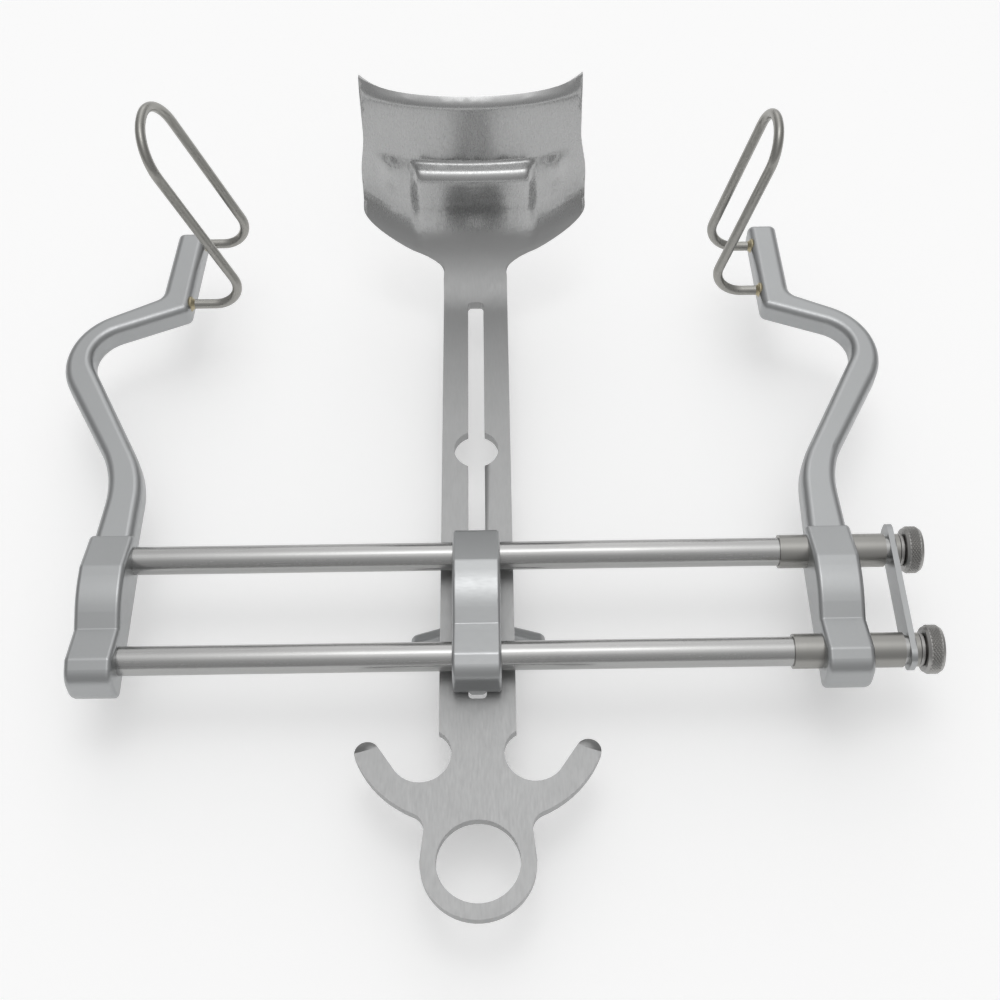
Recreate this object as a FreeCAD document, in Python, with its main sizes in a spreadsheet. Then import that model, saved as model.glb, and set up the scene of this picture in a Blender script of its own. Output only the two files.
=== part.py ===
import FreeCAD, Part
import math
import os
from FreeCAD import Placement, Rotation, Vector

# Self retaining abdominal retractor with a sliding centre blade, in millimetres.
# Working frame: X along the two rails, Y away from the finger ring, Z up.
# Its zero is midway between the rails, on their centre plane, where the
# clamp block is centred. The last step moves everything so that the origin
# is the bottom centre of the assembled instrument's box.

os.makedirs("parts", exist_ok=True)
doc = FreeCAD.newDocument("self_retaining_retractor")
sheet = doc.addObject("Spreadsheet::Sheet", "Sizes")

# Driving sizes: name, value, meaning
SIZES = (
    ("rail_diameter", 8.0, "diameter of both rails"),
    ("rail_spacing", 31.6, "distance between the rail axes"),
    ("rail_end", 116.6, "right end of both rails, where the keeper plate seats"),
    ("rail_seat_wall", 2.4, "wall left outside the end of each rail in the fixed block"),
    ("seat_clearance", 0.02, "radial gap of a fixed fit"),
    ("running_clearance", 0.05, "radial gap of a running fit"),
    ("slide_gap", 0.05, "gap between faces that slide on each other"),
    ("block_width", 12.8, "width of each arm block along the rails"),
    ("block_bottom", 6.2, "depth of the arm blocks below the rail axes"),
    ("block_edge_radius", 1.4, "rounding of the arm blocks' side edges"),
    ("far_face", 22.4, "Y of the far face of all three blocks"),
    ("far_height", 4.0, "height of the far face's top edge"),
    ("first_ridge", 9.5, "Y of the first ridge"),
    ("first_ridge_height", 8.5, "height of the first ridge"),
    ("ridge_radius", 1.7, "rounding of the blocks' ridges and corners"),
    ("brow", 1.0, "Y where the top turns down from the first ridge to the valley"),
    ("brow_drop", 0.3, "how far the top has sunk there"),
    ("brow_radius", 26.0, "radius of this turn"),
    ("valley", -8.0, "Y of the valley"),
    ("valley_height", 4.0, "height of the valley"),
    ("valley_radius", 0.6, "radius of the valley's crease"),
    ("second_ridge", -18.5, "Y of the second ridge"),
    ("second_ridge_height", 7.2, "height of the second ridge"),
    ("nose_reach", 25.4, "distance of the blocks' near nose from the centre"),
    ("nose_setback", 1.1, "how far the nose's upper corner stays behind its reach"),
    ("nose_drop", 2.2, "how far this corner lies below the second ridge"),
    ("nose_level", -2.0, "height where the nose reaches out furthest"),
    ("nose_radius", 5.5, "rounding of the nose"),
    ("nose_tuck", 1.4, "how far the nose tucks in again to the bottom"),
    ("fixed_block_x", -102.7, "centre of the fixed arm's block along the rails"),
    ("sliding_block_x", 99.9, "centre of the sliding arm's block along the rails"),
    ("arm_thickness", 8.5, "thickness of the arms"),
    ("arm_edge_radius", 2.4, "rounding of the arms' edges"),
    ("arm_reach", 140.3, "Y of the arms' free ends"),
    ("arm_root_depth", 8.0, "how deep the arms' bars reach into their blocks"),
    ("arm_root_half_width", 6.0, "half width of the bars at the blocks"),
    ("arm_waist_y", 43.5, "Y of the bars' first bend"),
    ("arm_waist_width", 9.5, "width of the bars there"),
    ("arm_waist_radius", 33.0, "radius of the first bend"),
    ("arm_outer_bend_y", 95.0, "Y of the outer side's second bend"),
    ("arm_outer_bend_radius", 20.5, "its radius"),
    ("arm_inner_bend_y", 93.7, "Y of the inner side's second bend"),
    ("arm_inner_bend_radius", 10.7, "its radius"),
    ("arm_bend_width", 12.0, "width of the bars along the rails at the second bend"),
    ("arm_shoulder_y", 110.7, "Y where the outer side crosses the block's centre line"),
    ("arm_shoulder_radius", 4.0, "radius of the outer corner to the end bar"),
    ("arm_foot_y", 105.5, "Y where the inner side has come in by the end bar's width"),
    ("arm_foot_radius", 2.4, "radius of the inner corner to the end bar"),
    ("arm_end_radius", 1.8, "rounding of the end bars' free ends"),
    ("fixed_tip_inset", 3.2, "inset of the fixed arm's end bar from its block's centre"),
    ("sliding_tip_inset", -0.8, "the same for the sliding arm"),
    ("fixed_arm_waist", 3.0, "setback of the fixed arm's outer side from its block's centre there"),
    ("sliding_arm_waist", 4.6, "the same for the sliding arm"),
    ("fixed_arm_bend", 31.4, "how far the fixed arm's outer bend reaches out from its block's centre"),
    ("sliding_arm_bend", 33.4, "the same for the sliding arm"),
    ("fixed_tip_lean", 2.2, "how far the fixed end bar leans inwards to its end"),
    ("sliding_tip_lean", 0.9, "the same for the sliding arm"),
    ("tip_width", 9.2, "width of the end bars"),
    ("sleeve_diameter", 9.5, "outer diameter of the sleeves"),
    ("sleeve_length", 29.6, "length of the sleeves"),
    ("sleeve_x", 100.5, "middle of the sleeves"),
    ("keeper_thickness", 1.6, "thickness of the keeper plate"),
    ("keeper_width", 8.5, "width of the keeper plate"),
    ("keeper_far_end", 7.6, "how far the keeper plate passes the far rail's axis"),
    ("keeper_near_end", 5.4, "how far it passes the near rail's axis"),
    ("keeper_corner_radius", 3.4, "rounding of the keeper plate's corners"),
    ("washer_diameter", 9.2, "outer diameter of the thumb screws' washers"),
    ("washer_thickness", 1.2, "thickness of these washers"),
    ("collar_thickness", 1.2, "thickness of the thumb screws' collars"),
    ("collar_groove", 0.25, "width of the groove between a collar and its knurled head"),
    ("groove_depth", 1.0, "depth of this groove"),
    ("knob_diameter", 13.4, "diameter of the knurled heads"),
    ("knob_length", 4.6, "length of the knurled heads"),
    ("knob_chamfer", 0.7, "chamfer of the knurled heads"),
    ("screw_diameter", 4.0, "diameter of the thumb screws' shanks"),
    ("turned_edge", 0.2, "edge bevel of the turned pieces"),
    ("screw_depth", 9.0, "depth of the thumb screws in the rails"),
    ("pin_diameter", 2.5, "diameter of the pins that hold the rails in the fixed block"),
    ("clamp_x", 0.4, "centre of the clamp block along the rails"),
    ("clamp_width", 13.2, "width of the clamp block along the rails"),
    ("clamp_bottom", 5.6, "depth of the clamp block below the rail axes"),
    ("clamp_edge_radius", 0.9, "rounding of the clamp block's side edges"),
    ("shank_width", 20.7, "width of the centre blade's shank"),
    ("shank_thickness", 3.2, "thickness of the centre blade's shank"),
    ("slot_width", 5.0, "width of the slot"),
    ("slot_far_end", 116.0, "Y of the slot's far end"),
    ("slot_near_end", -25.7, "Y of the slot's near end"),
    ("slot_corner_radius", 1.2, "corner radius of the slot's ends"),
    ("keyhole_y", 57.2, "Y of the keyhole in the slot"),
    ("keyhole_radius", 6.7, "radius of the keyhole"),
    ("tongue_length", 9.0, "length of the guide tongue under the clamp block"),
    ("tongue_side_gap", 0.1, "gap on each side of the tongue in the slot"),
    ("tongue_setback", 2.1, "distance of its near end from the block's nose"),
    ("tongue_stop", 0.4, "how far it ends above the shank's underside"),
    ("tongue_root", 2.0, "how deep it is rooted in the block"),
    ("stud_diameter", 4.7, "diameter of the clamp stud"),
    ("stud_depth", 7.0, "depth of the stud in the clamp block"),
    ("stud_end", -23.0, "Z of the stud's lower end"),
    ("nut_washer_diameter", 12.4, "diameter of the washer between nut and shank"),
    ("nut_washer_thickness", 1.2, "its thickness"),
    ("nut_hub_diameter", 12.0, "diameter of the wing nut's hub at the washer"),
    ("nut_hub_height", 9.5, "height of the wing nut's hub"),
    ("nut_foot_diameter", 8.0, "diameter of the hub's lower end"),
    ("nut_bevel", 0.5, "bevel of the hub's ends"),
    ("wing_span", 39.5, "span of the wing nut"),
    ("wing_drop", 7.5, "how far the wings pass below the hub"),
    ("wing_thickness", 3.4, "thickness of the wings"),
    ("ring_y", -70.5, "Y of the finger ring's centre"),
    ("ring_hole_radius", 10.8, "radius of the finger ring's hole"),
    ("ring_radius", 14.9, "outer radius of the finger ring"),
    ("blade_start", 112.0, "Y where the centre blade's bend starts"),
    ("blade_joint", 6.0, "length of flat shank before the bend that is drawn with the blade"),
    ("blade_bend_radius", 25.0, "radius of the bend on its upper face"),
    ("blade_fold_height", 55.75, "height of the lip's fold above the rail axes"),
    ("blade_flare_start", 36.0, "angle in degrees round the bend where the shank starts to widen"),
    ("blade_flare_end", 67.0, "angle in degrees where it has reached its low width"),
    ("blade_sweep_start", 24.0, "angle in degrees where the flanks start to sweep back"),
    ("blade_low_half_width", 36.2, "half width of the blade above its bend"),
    ("blade_waist_half_width", 33.7, "half width at its waist"),
    ("blade_tip_half_width", 33.4, "half width at its tip"),
    ("blade_flat_half_width", 18.0, "half width of the flat centre"),
    ("blade_flank_angle", 31.0, "angle in degrees by which the flanks sweep back"),
    ("blade_crease_softness", 3.0, "half width over which the crease between centre and flank bends"),
    ("blade_tip_radius", 104.0, "radius of the curved tip seen from above"),
    ("blade_thickness", 2.0, "thickness of the blade plate"),
    ("lip_radius", 3.0, "radius of the lip's fold on the front face"),
    ("lip_length", 1.3, "length of the lip beyond its fold at the middle"),
    ("lip_angle", 60.0, "angle in degrees by which the lip flares at the middle"),
    ("lip_corner_share", 0.6, "share of this angle left at the corners"),
    ("lip_horn", 3.4, "how far the lip's corners rise over its middle"),
    ("wire_diameter", 3.0, "diameter of the side blades' wire"),
    ("wire_level", 1.8, "height of the wire's legs above the rail axes"),
    ("wire_seat_depth", 5.0, "depth of the seats for the wire's ends in the end bars"),
    ("wire_end_gap", 0.3, "gap between a wire's end and its seat's floor"),
    ("wire_crown_share", 0.48, "radius of the loops' top corners, as a share of the loop's width"),
    ("fixed_wire_near", 29.7, "setback of the fixed side blade's near leg from the arm's end"),
    ("fixed_wire_far", 3.4, "setback of its far leg"),
    ("fixed_wire_reach", 19.5, "how far its lower bends stand inwards from the end bar"),
    ("fixed_wire_bend", 8.0, "radius of its lower bends"),
    ("fixed_wire_lean", 24.3, "how far it leans outwards to its top"),
    ("fixed_wire_drift", 4.2, "how far it leans away from the rails to its top"),
    ("fixed_wire_height", 63.0, "height of its top"),
    ("sliding_wire_near", 27.2, "setback of the sliding side blade's near leg from the arm's end"),
    ("sliding_wire_far", 7.8, "setback of its far leg"),
    ("sliding_wire_reach", 16.5, "how far its lower bends stand inwards from the end bar"),
    ("sliding_wire_bend", 8.5, "radius of its lower bends"),
    ("sliding_wire_lean", 14.5, "how far it leans outwards to its top"),
    ("sliding_wire_drift", 1.4, "how far it leans away from the rails to its top"),
    ("sliding_wire_height", 61.2, "height of its top"),
)

for row, (alias, value, meaning) in enumerate(SIZES, start=1):
    sheet.set(f"A{row}", meaning)
    sheet.set(f"B{row}", str(value))
    sheet.setAlias(f"B{row}", alias)
for row, alias in enumerate(("origin_x", "origin_y", "origin_z"), start=len(SIZES) + 1):
    sheet.set(f"A{row}", "moves the working frame to the origin, set at the end")
    sheet.set(f"B{row}", "0")
    sheet.setAlias(f"B{row}", alias)
doc.recompute()


def size(alias):
    """A size from the sheet."""
    return float(sheet.get(alias))


# Places that follow from the sizes
RAIL_Y = size("rail_spacing") / 2
KEEPER_FACE = size("rail_end") + size("keeper_thickness")
SHANK_TOP = -size("clamp_bottom") - size("slide_gap")
SHANK_BOTTOM = SHANK_TOP - size("shank_thickness")
NUT_WASHER_TOP = SHANK_BOTTOM - size("slide_gap")
NUT_TOP = NUT_WASHER_TOP - size("nut_washer_thickness") - size("slide_gap")

ALONG_X = Rotation(Vector(0, 1, 0), 90)
subparts = []


def finish(obj, label):
    """Name a sub-part and add the origin's cells to its placement."""
    obj.Label = label
    placed = {path.lstrip("."): place for path, place in obj.ExpressionEngine}
    for axis in ("x", "y", "z"):
        path = f"Placement.Base.{axis}"
        own = f"{placed[path]} + " if path in placed else ""
        obj.setExpression(path, f"{own}Sizes.origin_{axis}")
    subparts.append(obj)
    return obj


# Helpers for bodies, sketches and outlines

def new_body(name):
    return doc.addObject("PartDesign::Body", name)


def new_sketch(body, name, role, offset=None):
    """A sketch on one of the body's origin planes, moved along its normal."""
    plane = next(f for f in body.Origin.OriginFeatures if f.Role == role)
    sketch = body.newObject("Sketcher::SketchObject", name)
    sketch.AttachmentSupport = [(plane, "")]
    sketch.MapMode = "FlatFace"
    if offset:
        sketch.setExpression("AttachmentOffset.Base.z", offset)
    return sketch


def pad(body, sketch, name, length, symmetric=False):
    """A pad whose length is an expression of the sheet's sizes."""
    feature = body.newObject("PartDesign::Pad", name)
    feature.Profile = sketch
    feature.setExpression("Length", length)
    if symmetric:
        feature.SideType = "Symmetric"
    return feature


def rounded(corners, closed=True):
    """Lines and tangent arcs through corners (point, radius), in two or three dimensions."""
    count = len(corners)
    places = []
    for index, (here, radius) in enumerate(corners):
        end = not closed and index in (0, count - 1)
        if end or not radius:
            places.append((here, None, here))
            continue
        back = (corners[index - 1][0] - here).normalize()
        ahead = (corners[(index + 1) % count][0] - here).normalize()
        half = back.getAngle(ahead) / 2
        reach = radius / math.tan(half)
        middle = here + (back + ahead).normalize() * (radius / math.sin(half) - radius)
        places.append((here + back * reach, middle, here + ahead * reach))
    edges = []
    for index, (start, middle, end) in enumerate(places):
        if middle:
            edges.append(Part.Arc(start, middle, end))
        if closed or index < count - 1:
            following = places[(index + 1) % count][0]
            if end.distanceToPoint(following) > 1e-6:
                edges.append(Part.LineSegment(end, following))
    return edges


def flat(x, y, radius=0.0):
    """A corner of an outline in a sketch's own plane."""
    return (Vector(x, y, 0), radius)


def cylinder(name, diameter, length, x, y, z="0", along_x=True):
    """A cylinder that starts at x, y, z and runs along X, or down along Z."""
    solid = doc.addObject("Part::Cylinder", name)
    solid.setExpression("Radius", f"({diameter}) / 2")
    solid.setExpression("Height", length)
    turn = ALONG_X if along_x else Rotation(Vector(1, 0, 0), 180)
    solid.Placement = Placement(Vector(0, 0, 0), turn)
    for axis, value in (("x", x), ("y", y), ("z", z)):
        solid.setExpression(f"Placement.Base.{axis}", value)
    return solid


def cut(name, base, tool):
    solid = doc.addObject("Part::Cut", name)
    solid.Base = base
    solid.Tool = tool
    return solid


def fuse(name, pieces):
    solid = doc.addObject("Part::MultiFuse", name)
    solid.Shapes = pieces
    solid.Refine = True
    return solid


SIDES = (("far", "Sizes.rail_spacing / 2"), ("near", "-Sizes.rail_spacing / 2"))
START_X = "Sizes.fixed_block_x - Sizes.block_width / 2 + Sizes.rail_seat_wall"
PLATE_X = "Sizes.rail_end + Sizes.keeper_thickness"
BORE = "Sizes.screw_diameter + 2 * Sizes.running_clearance"
PIN_HOLE = "Sizes.pin_diameter + 2 * Sizes.seat_clearance"
PIN_BOTTOM = "-Sizes.block_bottom"
SHANK_UNDERSIDE = "-Sizes.clamp_bottom - Sizes.slide_gap - Sizes.shank_thickness"
PASS = 2.0
PIN_HEIGHT = "Sizes.block_bottom + Sizes.rail_diameter / 4"


def upright(name, diameter, y):
    """A pin or its hole, from the fixed block's underside into a rail."""
    solid = doc.addObject("Part::Cylinder", name)
    solid.setExpression("Radius", f"({diameter}) / 2")
    solid.setExpression("Height", PIN_HEIGHT)
    solid.setExpression("Placement.Base.x", "Sizes.fixed_block_x")
    solid.setExpression("Placement.Base.y", y)
    solid.setExpression("Placement.Base.z", PIN_BOTTOM)
    return solid


# Rails: solid rods, drilled at the right end for the thumb screws and
# cross drilled from below where a pin holds them in the fixed block.
for side, y in SIDES:
    rod = cylinder(f"{side}_rod", "Sizes.rail_diameter", f"Sizes.rail_end - ({START_X})", START_X, y)
    bore = cylinder(
        f"{side}_screw_bore",
        BORE,
        f"Sizes.screw_depth + {PASS}",
        "Sizes.rail_end - Sizes.screw_depth - 0.5",
        y,
    )
    drilled = cut(f"{side}_drilled_rod", rod, bore)
    hole = upright(f"{side}_rail_pin_hole", PIN_HOLE, y)
    finish(cut(f"{side}_rail", drilled, hole), f"{side}_rail")
    finish(upright(f"{side}_rail_pin", "Sizes.pin_diameter", y), f"{side}_rail_pin")


# Blocks: one wave profile, swept along the rails

def wave_outline(bottom):
    """The blocks' profile in Y and Z: two ridges over the rails and a valley between."""
    far = size("far_face")
    nose = -size("nose_reach")
    crest = size("ridge_radius")
    corners = (
        (far, -bottom, crest),
        (far, size("far_height"), crest),
        (size("first_ridge"), size("first_ridge_height"), crest),
        (size("brow"), size("first_ridge_height") - size("brow_drop"), size("brow_radius")),
        (size("valley"), size("valley_height"), size("valley_radius")),
        (size("second_ridge"), size("second_ridge_height"), crest),
        (
            nose + size("nose_setback"),
            size("second_ridge_height") - size("nose_drop"),
            size("nose_radius"),
        ),
        (nose, size("nose_level"), size("nose_radius")),
        (nose + size("nose_tuck"), -bottom, crest),
    )
    return rounded([flat(y, z, radius) for y, z, radius in corners])


def edges_on_sides(shape, planes, axis):
    """Names of the edges that lie in the planes at the given places along an axis."""
    names = []
    for index, edge in enumerate(shape.Edges, start=1):
        places = [getattr(edge.valueAt(p), axis) for p in edge.ParameterRange]
        for plane in planes:
            if all(abs(place - plane) < 1e-4 for place in places):
                names.append(f"Edge{index}")
    return names


def round_edges(body, feature, name, names, radius):
    rounding = body.newObject("PartDesign::Fillet", name)
    rounding.Base = (feature, names)
    rounding.setExpression("Radius", radius)
    return rounding


def wave_block(name, x, width, bottom, radius):
    """A block on the rails, with its side edges rounded."""
    body = new_body(name)
    sketch = new_sketch(body, f"{name}_profile", "YZ_Plane", f"Sizes.{x} - Sizes.{width} / 2")
    sketch.addGeometry(wave_outline(size(bottom)), False)
    block = pad(body, sketch, f"{name}_pad", f"Sizes.{width}")
    doc.recompute()
    low = size(x) - size(width) / 2
    names = edges_on_sides(block.Shape, (low, low + size(width)), "x")
    round_edges(body, block, f"{name}_rounding", names, f"Sizes.{radius}")
    return body


# Arms: an S shaped bar from the block to an end bar that carries the wire

def arm_outline(block_x, tip, inset, lean, side):
    """The arm seen from above, as corners with radii, mirrored by side."""
    bar = size("tip_width")
    end = size("arm_reach")
    outside = size(f"{tip}_arm_waist")
    bend = size(f"{tip}_arm_bend")
    inner_bend = bend - size("arm_bend_width")
    half = size("arm_root_half_width")
    root = size("far_face") - size("arm_root_depth")
    waist = size("arm_waist_y")
    curve = size("arm_waist_radius")
    outer = size("arm_outer_bend_y")
    inner = size("arm_inner_bend_y")
    shoulder = size("arm_shoulder_y")
    foot = size("arm_foot_y")
    outer_slope = (shoulder - outer) / bend
    inner_slope = (foot - inner) / (inner_bend + bar)
    corner = size("arm_end_radius")
    corners = (
        (half, root, 0.0),
        (outside, waist, curve),
        (bend, outer, size("arm_outer_bend_radius")),
        (-inset, shoulder + outer_slope * inset, size("arm_shoulder_radius")),
        (-inset - lean, end, corner),
        (-inset - bar - lean, end, corner),
        (-inset - bar, foot + inner_slope * inset, size("arm_foot_radius")),
        (inner_bend, inner, size("arm_inner_bend_radius")),
        (outside - size("arm_waist_width"), waist, curve),
        (-half, root, 0.0),
    )
    return [flat(block_x + side * u, v, radius) for u, v, radius in corners]


def arm(name, x, tip, wire, side):
    """An arm with its block, bored for the rails and for the wire's ends."""
    inset = size(f"{tip}_tip_inset")
    lean = size(f"{tip}_tip_lean")
    body = new_body(f"{name}_bar")
    sketch = new_sketch(body, f"{name}_outline", "XY_Plane")
    outline = arm_outline(size(x), tip, inset, lean, side)
    sketch.addGeometry(rounded(outline), False)
    bar = pad(body, sketch, f"{name}_bar_pad", "Sizes.arm_thickness", symmetric=True)
    doc.recompute()
    half = size("arm_thickness") / 2
    names = edges_on_sides(bar.Shape, (-half, half), "z")
    round_edges(body, bar, f"{name}_bar_rounding", names, "Sizes.arm_edge_radius")
    block = wave_block(f"{name}_block", x, "block_width", "block_bottom", "block_edge_radius")
    solid = fuse(f"{name}_forging", [body, block])
    seat = "Sizes.wire_diameter + 2 * Sizes.seat_clearance"
    face = size(x) + side * (-inset - size("tip_width"))
    for leg in ("near", "far"):
        depth = size("wire_seat_depth")
        start = face if side > 0 else face - depth
        hole = cylinder(
            f"{name}_{leg}_wire_seat",
            seat,
            "2 * Sizes.wire_seat_depth",
            f"{start - (depth if side > 0 else 0)}",
            f"Sizes.arm_reach - Sizes.{wire}_{leg}",
            "Sizes.wire_level",
        )
        solid = cut(f"{name}_{leg}_seated", solid, hole)
    return solid


left = arm("left_arm", "fixed_block_x", "fixed", "fixed_wire", -1)
right = arm("right_arm", "sliding_block_x", "sliding", "sliding_wire", 1)
for side, y in SIDES:
    bore = cylinder(
        f"{side}_rail_seat",
        "Sizes.rail_diameter + 2 * Sizes.seat_clearance",
        "2 * Sizes.block_width",
        START_X,
        y,
    )
    left = cut(f"{side}_bored_block", left, bore)
    left = cut(f"{side}_pinned_block", left, upright(f"{side}_block_pin_hole", PIN_HOLE, y))
    bore = cylinder(
        f"{side}_sleeve_seat",
        "Sizes.sleeve_diameter + 2 * Sizes.seat_clearance",
        f"Sizes.block_width + 2 * {PASS}",
        f"Sizes.sliding_block_x - Sizes.block_width / 2 - {PASS}",
        y,
    )
    right = cut(f"{side}_bored_carriage", right, bore)
finish(left, "left_arm")
finish(right, "right_arm")


# Sleeves of the sliding arm
for side, y in SIDES:
    start = "Sizes.sleeve_x - Sizes.sleeve_length / 2"
    tube = cylinder(f"{side}_tube", "Sizes.sleeve_diameter", "Sizes.sleeve_length", start, y)
    bore = cylinder(
        f"{side}_tube_bore",
        "Sizes.rail_diameter + 2 * Sizes.running_clearance",
        f"Sizes.sleeve_length + 2 * {PASS}",
        f"{start} - {PASS}",
        y,
    )
    finish(cut(f"{side}_sleeve", tube, bore), f"{side}_sleeve")


# Keeper plate across the rails' right ends
def keeper_plate():
    body = new_body("keeper_plate")
    sketch = new_sketch(body, "keeper_outline", "YZ_Plane", "Sizes.rail_end")
    half = size("keeper_width") / 2
    far = RAIL_Y + size("keeper_far_end")
    near = -RAIL_Y - size("keeper_near_end")
    radius = size("keeper_corner_radius")
    corners = [(near, -half), (far, -half), (far, half), (near, half)]
    sketch.addGeometry(rounded([flat(y, z, radius) for y, z in corners]), False)
    hole = size("screw_diameter") / 2 + size("running_clearance")
    for y in (RAIL_Y, -RAIL_Y):
        sketch.addGeometry(Part.Circle(Vector(y, 0, 0), Vector(0, 0, 1), hole), False)
    pad(body, sketch, "keeper_pad", "Sizes.keeper_thickness")
    return body


finish(keeper_plate(), "keeper_plate")


# Washers and knurled thumb screws that hold the keeper plate
def thumb_screw(name, y):
    """A turned screw: shank, collar, groove and knurled head, revolved about X."""
    body = new_body(name)
    sketch = new_sketch(body, f"{name}_profile", "XY_Plane")
    tip = size("rail_end") - size("screw_depth")
    seat = KEEPER_FACE + size("washer_thickness")
    collar = seat + size("collar_thickness")
    head = collar + size("collar_groove")
    end = head + size("knob_length")
    shank = size("screw_diameter") / 2
    rim = size("washer_diameter") / 2
    knob = size("knob_diameter") / 2
    bevel = size("knob_chamfer")
    edge = size("turned_edge")
    groove = size("groove_depth")
    profile = (
        (tip, 0),
        (tip, shank - 2 * edge),
        (tip + 2 * edge, shank),
        (seat, shank),
        (seat, rim - edge),
        (seat + edge, rim),
        (collar - edge, rim),
        (collar, rim - edge),
        (collar, rim - groove),
        (head, rim - groove),
        (head, knob - bevel),
        (head + bevel, knob),
        (end - bevel, knob),
        (end, knob - bevel),
        (end, 0),
    )
    sketch.addGeometry(rounded([flat(x, radius) for x, radius in profile]), False)
    sketch.setExpression("AttachmentOffset.Base.y", y)
    turned = body.newObject("PartDesign::Revolution", f"{name}_turning")
    turned.Profile = sketch
    turned.ReferenceAxis = (sketch, ["H_Axis"])
    turned.Angle = 360
    return body


for side, y in SIDES:
    disc = cylinder(f"{side}_disc", "Sizes.washer_diameter", "Sizes.washer_thickness", PLATE_X, y)
    hole = cylinder(
        f"{side}_disc_hole",
        BORE,
        f"Sizes.washer_thickness + 2 * {PASS}",
        f"{PLATE_X} - {PASS}",
        y,
    )
    finish(cut(f"{side}_washer", disc, hole), f"{side}_washer")
    finish(thumb_screw(f"{side}_thumb_screw", y), f"{side}_thumb_screw")


# Clamp block with its guide tongue, stud, washer and wing nut
def clamp_block():
    block = wave_block("clamp_body", "clamp_x", "clamp_width", "clamp_bottom", "clamp_edge_radius")
    body = new_body("guide_tongue")
    underside = "Sizes.tongue_stop - Sizes.clamp_bottom - Sizes.shank_thickness"
    sketch = new_sketch(body, "tongue_outline", "XY_Plane", underside)
    half = size("slot_width") / 2 - size("tongue_side_gap")
    near = size("tongue_setback") - size("nose_reach")
    far = near + size("tongue_length")
    middle = size("clamp_x")
    radius = size("slot_corner_radius")
    corners = [
        flat(middle - half, near, radius),
        flat(middle + half, near, radius),
        flat(middle + half, far, radius),
        flat(middle - half, far, radius),
    ]
    sketch.addGeometry(rounded(corners), False)
    pad(body, sketch, "tongue_pad", "Sizes.shank_thickness - Sizes.tongue_stop + Sizes.tongue_root")
    solid = fuse("clamp_with_tongue", [block, body])
    for side, y in SIDES:
        bore = cylinder(
            f"{side}_clamp_bore",
            "Sizes.rail_diameter + 2 * Sizes.running_clearance",
            f"Sizes.clamp_width + 2 * {PASS}",
            f"Sizes.clamp_x - Sizes.clamp_width / 2 - {PASS}",
            y,
        )
        solid = cut(f"{side}_bored_clamp", solid, bore)
    hole = cylinder(
        "stud_seat",
        "Sizes.stud_diameter + 2 * Sizes.seat_clearance",
        "2 * Sizes.stud_depth",
        "Sizes.clamp_x",
        "0",
        "Sizes.stud_depth - Sizes.clamp_bottom",
        along_x=False,
    )
    return cut("clamp_block", solid, hole)


finish(clamp_block(), "clamp_block")
stud = cylinder(
    "clamp_stud",
    "Sizes.stud_diameter",
    "Sizes.stud_depth - Sizes.clamp_bottom - Sizes.stud_end",
    "Sizes.clamp_x",
    "0",
    "Sizes.stud_depth - Sizes.clamp_bottom",
    along_x=False,
)
finish(stud, "clamp_stud")

NUT_BORE = "Sizes.stud_diameter + 2 * Sizes.running_clearance"
WASHER_Z = "-Sizes.clamp_bottom - 2 * Sizes.slide_gap - Sizes.shank_thickness"
disc = cylinder(
    "nut_disc",
    "Sizes.nut_washer_diameter",
    "Sizes.nut_washer_thickness",
    "Sizes.clamp_x",
    "0",
    WASHER_Z,
    along_x=False,
)
hole = cylinder(
    "nut_disc_hole",
    NUT_BORE,
    f"Sizes.nut_washer_thickness + 2 * {PASS}",
    "Sizes.clamp_x",
    "0",
    f"{WASHER_Z} + {PASS}",
    along_x=False,
)
finish(cut("nut_washer", disc, hole), "nut_washer")


def wing_nut():
    """Turned conical hub with two flat wings that sweep down and outwards."""
    x = size("clamp_x")
    base = size("nut_hub_diameter") / 2
    low = NUT_TOP - size("nut_hub_height")
    hub = new_body("nut_hub")
    sketch = new_sketch(hub, "hub_profile", "XZ_Plane")
    bevel = size("nut_bevel")
    foot_radius = size("nut_foot_diameter") / 2
    profile = (
        (0, NUT_TOP),
        (base - bevel, NUT_TOP),
        (base, NUT_TOP - bevel),
        (foot_radius + bevel, low + bevel),
        (foot_radius, low),
        (0, low),
    )
    sketch.addGeometry(rounded([flat(radius, z) for radius, z in profile]), False)
    sketch.setExpression("AttachmentOffset.Base.x", "Sizes.clamp_x")
    turned = hub.newObject("PartDesign::Revolution", "hub_turning")
    turned.Profile = sketch
    turned.ReferenceAxis = (sketch, ["V_Axis"])
    turned.Angle = 360
    pieces = [hub]
    reach = size("wing_span") / 2
    foot = low - size("wing_drop")
    for name, side in (("left", -1), ("right", 1)):
        body = new_body(f"{name}_wing")
        outline = new_sketch(body, f"{name}_wing_outline", "XZ_Plane")
        corners = (
            (base - 2.6, NUT_TOP - 2.2, 0.0),
            (base + 1.0, NUT_TOP - 3.2, 3.0),
            (reach, low - 0.5, 3.4),
            (reach - 1.2, foot, 3.2),
            (reach - 7.6, foot + 0.4, 3.6),
            (base - 1.2, low + 0.8, 0.0),
            (base - 3.0, low + 0.8, 0.0),
        )
        outline.addGeometry(rounded([flat(x + side * u, z, r) for u, z, r in corners]), False)
        wing = pad(body, outline, f"{name}_wing_pad", "Sizes.wing_thickness", symmetric=True)
        doc.recompute()
        half = size("wing_thickness") / 2
        names = edges_on_sides(wing.Shape, (-half, half), "y")
        round_edges(body, wing, f"{name}_wing_rounding", names, "0.35 * Sizes.wing_thickness")
        pieces.append(body)
    solid = fuse("winged_hub", pieces)
    hole = cylinder(
        "nut_bore",
        NUT_BORE,
        "2 * Sizes.nut_hub_height + Sizes.nut_washer_thickness",
        "Sizes.clamp_x",
        "0",
        WASHER_Z,
        along_x=False,
    )
    return cut("wing_nut", solid, hole)


finish(wing_nut(), "wing_nut")


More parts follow.
